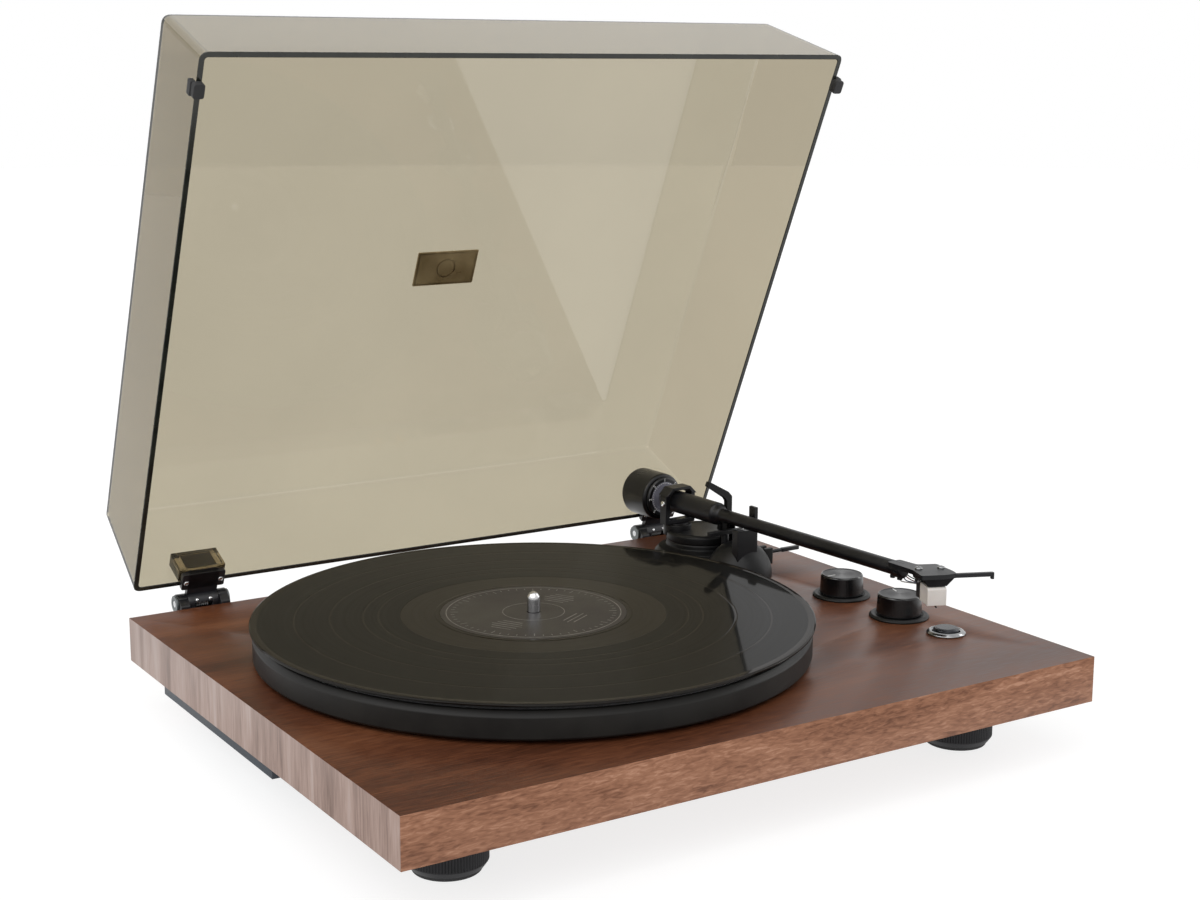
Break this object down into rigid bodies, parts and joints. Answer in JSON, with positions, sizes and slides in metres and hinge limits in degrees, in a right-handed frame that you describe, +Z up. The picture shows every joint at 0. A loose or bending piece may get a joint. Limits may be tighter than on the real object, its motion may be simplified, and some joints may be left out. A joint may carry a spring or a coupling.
{
  "type": "turntable record player",
  "caption": "Belt-drive turntable with a wood-veneered plinth, platter with a record, gimbal tonearm with counterweight, control knobs, push button and a hinged smoked lid.",
  "frame": {"origin": "on the floor under the middle of the whole outline with the lid open, level with the bottoms of the foot pads", "axes": "+X to the right seen from the front, +Y to the back, +Z up"},
  "size_m": [0.412, 0.4106, 0.3888],
  "materials": {
    "walnut": "satin walnut veneer",
    "tray_paint": "dark satin paint",
    "screw_steel": "zinc plated",
    "black_screw": "black oxide",
    "foot_black": "ribbed matt plastic",
    "pad_rubber": "matt",
    "socket_gold": "gold plated",
    "inlet_black": "moulded",
    "board_green": "solder mask",
    "switch_grey": "moulded",
    "knob_black": "satin gloss",
    "chrome": "polished",
    "button_black": "satin",
    "motor_steel": "drawn can",
    "bracket_steel": "plated",
    "pulley_brass": "turned",
    "belt_rubber": "ground",
    "bearing_steel": "turned",
    "platter_black": "satin black lacquer on cast aluminium",
    "mat_felt": "dense felt",
    "vinyl": "grooved gloss",
    "label_paper": "printed paper",
    "arm_black": "satin black",
    "arm_plastic": "fine texture",
    "weight_black": "satin black",
    "dial_grey": "satin with printed numbers",
    "cartridge_black": "moulded",
    "stylus_ivory": "moulded",
    "diamond": "polished",
    "smoked_acrylic": "clear smoked gloss",
    "badge": "printed plate",
    "hinge_black": "moulded",
    "hinge_cap": "satin",
    "spring_steel": "wire"
  },
  "bodies": {
    "chassis": {"plinth": "walnut", "bottom_tray": "tray_paint", "control_cover": "tray_paint", "tray_screws": "black_screw", "foot_front_left": "foot_black", "foot_front_right": "foot_black", "foot_rear_left": "foot_black", "foot_rear_right": "foot_black", "foot_pads": "pad_rubber", "foot_screws": "screw_steel", "rear_panel": "tray_paint", "phono_sockets": "socket_gold", "ground_terminal": "chrome", "supply_inlet": "inlet_black", "circuit_board": "board_green", "rotary_switches": "switch_grey", "knob_bezels": "knob_black", "button_ring": "chrome", "button_switch": "switch_grey", "motor": "motor_steel", "motor_bracket": "bracket_steel", "drive_belt": "belt_rubber", "bearing_housing": "bearing_steel", "thrust_ball": "chrome", "arm_base": "arm_plastic", "base_nut": "screw_steel", "hinge_bases": "hinge_black", "hinge_pins": "hinge_cap", "hinge_springs": "spring_steel", "hinge_screws": "chrome"},
    "level_slider": {"level_switch": "inlet_black"},
    "speed_knob": {"speed_knob": "knob_black"},
    "mode_knob": {"mode_knob": "knob_black"},
    "button": {"button_cap": "button_black"},
    "pulley": {"motor_pulley": "pulley_brass"},
    "platter": {"spindle": "chrome", "platter": "platter_black", "slipmat": "mat_felt"},
    "record": {"record": "vinyl", "record_label": "label_paper"},
    "antiskate": {"antiskate_knob": "arm_plastic"},
    "arm_lift": {"lift_platform": "arm_plastic"},
    "cue_lever": {"cue_lever": "arm_black"},
    "arm_clip": {"arm_clip": "arm_plastic"},
    "gimbal": {"gimbal_yoke": "arm_black", "pivot_screws": "chrome"},
    "tonearm": {"arm_tube": "arm_black", "rear_stub": "screw_steel", "headshell": "arm_black", "cartridge": "cartridge_black", "cartridge_screws": "chrome", "stylus_holder": "stylus_ivory", "stylus": "diamond"},
    "weight_carrier": {"weight_core": "arm_plastic"},
    "counterweight": {"counterweight": "weight_black"},
    "force_dial": {"force_dial": "dial_grey"},
    "lid": {"lid": "smoked_acrylic", "lid_bumpers": "pad_rubber", "lid_badge": "badge", "hinge_arms": "hinge_black"}
  },
  "joints": [
    {"name": "lid_hinge", "type": "hinge", "parent": "chassis", "child": "lid", "pos_m": [0, 0.14415, 0.0549], "axis": [-1, 0, 0], "range_deg": [-65.9, 0]},
    {"name": "platter_spin", "type": "hinge", "parent": "chassis", "child": "platter", "pos_m": [-0.04, -0.03485, 0.0535], "axis": [0, 0, -1], "continuous": true},
    {"name": "pulley_spin", "type": "hinge", "parent": "chassis", "child": "pulley", "pos_m": [-0.13184, 0.03436, 0.0585], "axis": [0, 0, -1], "continuous": true},
    {"name": "record_lift", "type": "slide", "parent": "platter", "child": "record", "axis": [0, 0, 1], "range_m": [0, 0.02]},
    {"name": "speed_knob_turn", "type": "hinge", "parent": "chassis", "child": "speed_knob", "pos_m": [0.168, -0.04185, 0.0615], "axis": [0, 0, -1], "range_deg": [0, 90]},
    {"name": "mode_knob_turn", "type": "hinge", "parent": "chassis", "child": "mode_knob", "pos_m": [0.168, -0.09285, 0.0615], "axis": [0, 0, -1], "range_deg": [0, 90]},
    {"name": "button_press", "type": "slide", "parent": "chassis", "child": "button", "axis": [0, 0, -1], "range_m": [0, 0.0018], "stiffness_N_per_m": 300},
    {"name": "level_slide", "type": "slide", "parent": "chassis", "child": "level_slider", "axis": [1, 0, 0], "range_m": [0, 0.005]},
    {"name": "antiskate_turn", "type": "hinge", "parent": "chassis", "child": "antiskate", "pos_m": [0.161, 0.06415, 0.0755], "axis": [0, 0, 1], "range_deg": [0, 270]},
    {"name": "cue_lever_turn", "type": "hinge", "parent": "chassis", "child": "cue_lever", "pos_m": [0.164, 0.02715, 0.065], "axis": [0, -1, 0], "range_deg": [0, 35]},
    {"name": "lift_raise", "type": "slide", "parent": "chassis", "child": "arm_lift", "axis": [0, 0, 1], "range_m": [0, 0.0046]},
    {"name": "arm_clip_turn", "type": "hinge", "parent": "chassis", "child": "arm_clip", "pos_m": [0.1494, 0.04715, 0.0865], "axis": [0, 1, 0], "range_deg": [-14, 60]},
    {"name": "tonearm_swing", "type": "hinge", "parent": "chassis", "child": "gimbal", "pos_m": [0.137, 0.08415, 0.0895], "axis": [0, 0, 1], "range_deg": [-44, 0]},
    {"name": "tonearm_raise", "type": "hinge", "parent": "gimbal", "child": "tonearm", "pos_m": [0.137, 0.08415, 0.0895], "axis": [-0.9988, -0.0489, 0], "range_deg": [-0.1, 7]},
    {"name": "weight_turn", "type": "hinge", "parent": "weight_carrier", "child": "counterweight", "pos_m": [0.13563, 0.11212, 0.0895], "axis": [-0.0489, 0.9988, 0], "range_deg": [-361, 361]},
    {"name": "weight_travel", "type": "slide", "parent": "tonearm", "child": "weight_carrier", "axis": [-0.0489, 0.9988, 0], "range_m": [-0.002, 0.002]},
    {"name": "dial_spin", "type": "hinge", "parent": "counterweight", "child": "force_dial", "pos_m": [0.13627, 0.09914, 0.0895], "axis": [-0.0489, 0.9988, 0], "continuous": true}
  ],
  "couplings": [
    {"joint": "pulley_spin", "follows": "platter_spin", "ratio": 16.667},
    {"joint": "lift_raise", "follows": "cue_lever_turn", "m_per_rad": 0.0072029},
    {"joint": "weight_turn", "follows": "weight_travel", "rad_per_m": 3141.6}
  ]
}
